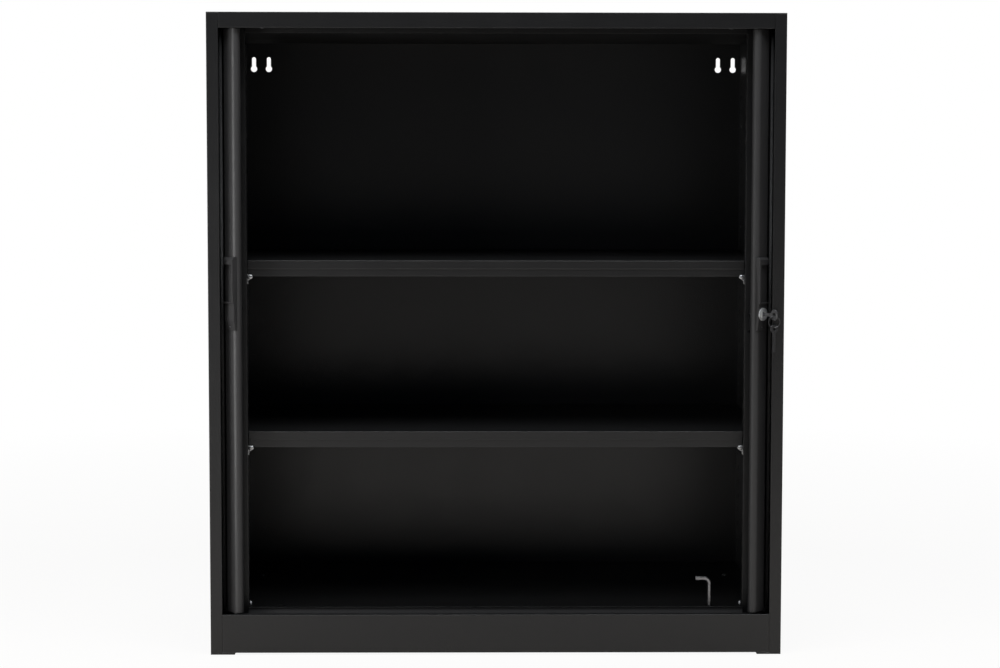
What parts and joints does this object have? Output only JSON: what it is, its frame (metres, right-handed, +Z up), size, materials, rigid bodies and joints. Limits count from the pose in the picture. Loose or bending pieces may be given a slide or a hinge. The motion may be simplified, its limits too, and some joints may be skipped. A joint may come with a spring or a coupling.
{
  "type": "tambour door cabinet",
  "caption": "Low steel storage cabinet with side-opening tambour doors run back, adjustable shelves, a lock with keys and levelling feet.",
  "frame": {"origin": "on the floor under the middle of the cabinet", "axes": "+Z up, the front with the door opening faces -Y, +X to the right as seen from the front"},
  "size_m": [0.908, 0.4859, 1.016],
  "materials": {
    "powder_coated_steel": "fine orange peel, semi matt",
    "zinc_plated_steel": "bright zinc plate",
    "chrome_plate": "polished",
    "black_nylon": "matt, moulded",
    "slat_plastic": "satin, extruded"
  },
  "bodies": {
    "cabinet": {"left_side": "powder_coated_steel", "right_side": "powder_coated_steel", "top_panel": "powder_coated_steel", "top_pan": "powder_coated_steel", "ceiling": "powder_coated_steel", "base_pan": "powder_coated_steel", "deck": "powder_coated_steel", "plinth": "powder_coated_steel", "back_panel": "powder_coated_steel", "back_rivets": "zinc_plated_steel", "left_liner": "powder_coated_steel", "right_liner": "powder_coated_steel", "bottom_front_track": "black_nylon", "top_front_track": "black_nylon", "left_corner_guides": "black_nylon", "right_corner_guides": "black_nylon", "left_side_tracks": "black_nylon", "right_side_tracks": "black_nylon", "left_slats": "slat_plastic", "right_slats": "slat_plastic", "shelf_clips": "zinc_plated_steel", "foot_bushes": "zinc_plated_steel", "deck_screws": "zinc_plated_steel", "rail_buffers": "black_nylon"},
    "left_glides": {"left_glides": "black_nylon"},
    "left_door_stile": {"left_stile": "slat_plastic", "left_handle": "slat_plastic", "left_handle_screws": "zinc_plated_steel", "keeper": "zinc_plated_steel"},
    "right_glides": {"right_glides": "black_nylon"},
    "right_door_stile": {"right_stile": "slat_plastic", "right_handle": "slat_plastic", "right_handle_screws": "zinc_plated_steel", "lock_barrel": "chrome_plate", "lock_nut": "zinc_plated_steel"},
    "lock_plug": {"lock_plug": "chrome_plate", "lock_cam": "zinc_plated_steel", "cam_screw": "zinc_plated_steel"},
    "key": {"key": "chrome_plate"},
    "key_ring": {"key_ring": "chrome_plate"},
    "spare_key": {"spare_key": "chrome_plate"},
    "upper_shelf": {"upper_shelf": "powder_coated_steel"},
    "lower_shelf": {"lower_shelf": "powder_coated_steel"},
    "hex_key": {"hex_key": "chrome_plate"},
    "front_left_foot": {"front_left_pad": "black_nylon", "front_left_spindle": "zinc_plated_steel"},
    "front_right_foot": {"front_right_pad": "black_nylon", "front_right_spindle": "zinc_plated_steel"},
    "rear_left_foot": {"rear_left_pad": "black_nylon", "rear_left_spindle": "zinc_plated_steel"},
    "rear_right_foot": {"rear_right_pad": "black_nylon", "rear_right_spindle": "zinc_plated_steel"}
  },
  "joints": [
    {"name": "left_door_slide", "type": "slide", "parent": "cabinet", "child": "left_glides", "axis": [1, 0, 0], "range_m": [0, 0.4005], "deforming": ["left_slats"]},
    {"name": "left_stile_turn", "type": "hinge", "parent": "left_glides", "child": "left_door_stile", "pos_m": [-0.413, -0.219, 0.529], "axis": [0, 0, 1], "range_deg": [0, 45.01]},
    {"name": "right_door_slide", "type": "slide", "parent": "cabinet", "child": "right_glides", "axis": [-1, 0, 0], "range_m": [0, 0.4005], "deforming": ["right_slats"]},
    {"name": "right_stile_turn", "type": "hinge", "parent": "right_glides", "child": "right_door_stile", "pos_m": [0.413, -0.219, 0.529], "axis": [0, 0, -1], "range_deg": [0, 45.01]},
    {"name": "lock_turn", "type": "hinge", "parent": "right_door_stile", "child": "lock_plug", "pos_m": [0.413, -0.219, 0.543], "axis": [-0.7071, 0.7071, 0], "range_deg": [0, 90]},
    {"name": "key_withdraw", "type": "slide", "parent": "lock_plug", "child": "key", "axis": [0.7071, -0.7071, 0], "range_m": [0, 0.02]},
    {"name": "key_ring_swing", "type": "hinge", "parent": "key", "child": "key_ring", "pos_m": [0.43739, -0.2434, 0.5411], "axis": [1, 0, 0], "range_deg": [-30, 1]},
    {"name": "spare_key_swing", "type": "hinge", "parent": "key_ring", "child": "spare_key", "pos_m": [0.43739, -0.2434, 0.5231], "axis": [1, 0, 0], "range_deg": [-25, 1]},
    {"name": "upper_shelf_lift", "type": "slide", "parent": "cabinet", "child": "upper_shelf", "axis": [0, 0, 1], "range_m": [0, 0.03]},
    {"name": "lower_shelf_lift", "type": "slide", "parent": "cabinet", "child": "lower_shelf", "axis": [0, 0, 1], "range_m": [0, 0.03]},
    {"name": "front_left_foot_adjust", "type": "slide", "parent": "cabinet", "child": "front_left_foot", "axis": [0, 0, 1], "range_m": [-0.012, 0]},
    {"name": "front_right_foot_adjust", "type": "slide", "parent": "cabinet", "child": "front_right_foot", "axis": [0, 0, 1], "range_m": [-0.012, 0]},
    {"name": "rear_left_foot_adjust", "type": "slide", "parent": "cabinet", "child": "rear_left_foot", "axis": [0, 0, 1], "range_m": [-0.012, 0]},
    {"name": "rear_right_foot_adjust", "type": "slide", "parent": "cabinet", "child": "rear_right_foot", "axis": [0, 0, 1], "range_m": [-0.012, 0]},
    {"name": "hex_key_lift", "type": "slide", "parent": "front_right_foot", "child": "hex_key", "axis": [0, 0, 1], "range_m": [0, 0.08]}
  ],
  "couplings": [
    {"joint": "left_stile_turn", "follows": "left_door_slide", "rad_per_m": 1.961},
    {"joint": "right_stile_turn", "follows": "right_door_slide", "rad_per_m": 1.961}
  ]
}
